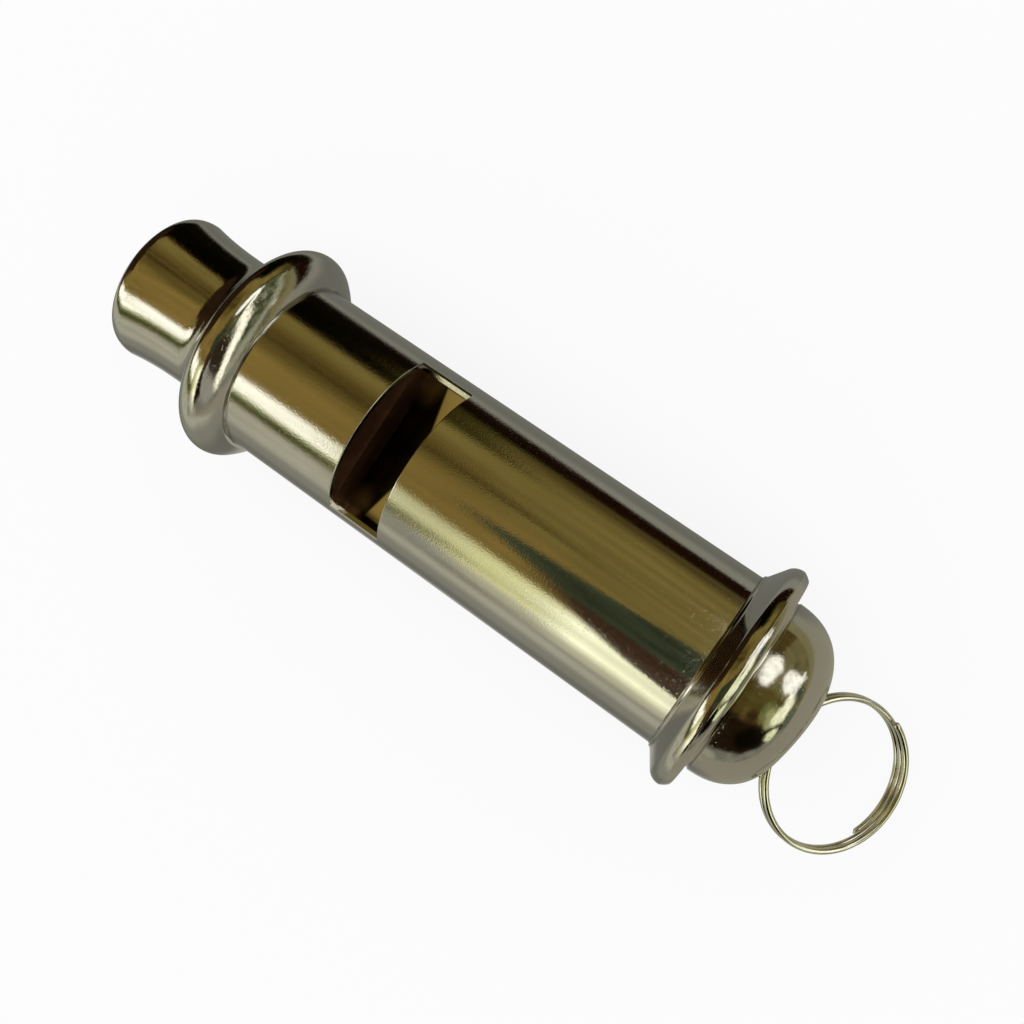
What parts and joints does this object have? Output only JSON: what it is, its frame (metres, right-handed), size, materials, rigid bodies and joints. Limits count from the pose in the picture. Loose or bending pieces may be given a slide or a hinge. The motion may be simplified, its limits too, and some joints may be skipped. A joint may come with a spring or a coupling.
{
  "type": "whistle",
  "caption": "Round nickel-plated sports whistle: flared mouthpiece with a bead, tube with sound windows cut across it, domed end cap with a brim, and a swinging split ring.",
  "frame": {"origin": "middle of the mouth opening, in the plane of the mouthpiece's rim, on the axis of the tube", "axes": "+X along the axis of the tube from the mouth to the dome; +Z out of the upper sound window; +Y completes a right-handed frame"},
  "size_m": [0.0878, 0.023, 0.023],
  "materials": {
    "nickel_plating": "mirror-like nickel plating on brass, slightly warm",
    "brass": "dull bare brass inside the tube",
    "solder": "grainy plated solder",
    "ring_steel": "polished nickel-plated steel wire"
  },
  "bodies": {
    "whistle": {"mouthpiece": "nickel_plating", "body_tube": "nickel_plating", "windway_plug": "brass", "chamber_divider": "brass", "chamber_stop": "brass", "end_plate": "brass", "end_cap": "nickel_plating", "mouth_solder": "solder", "cap_solder": "solder"},
    "ring": {"split_ring": "ring_steel"}
  },
  "joints": [
    {"name": "ring_swing", "type": "hinge", "parent": "whistle", "child": "ring", "pos_m": [0.07491, -0.00068, 0], "axis": [0.1194, 0.9726, -0.1994], "range_deg": [-62, 1]}
  ]
}
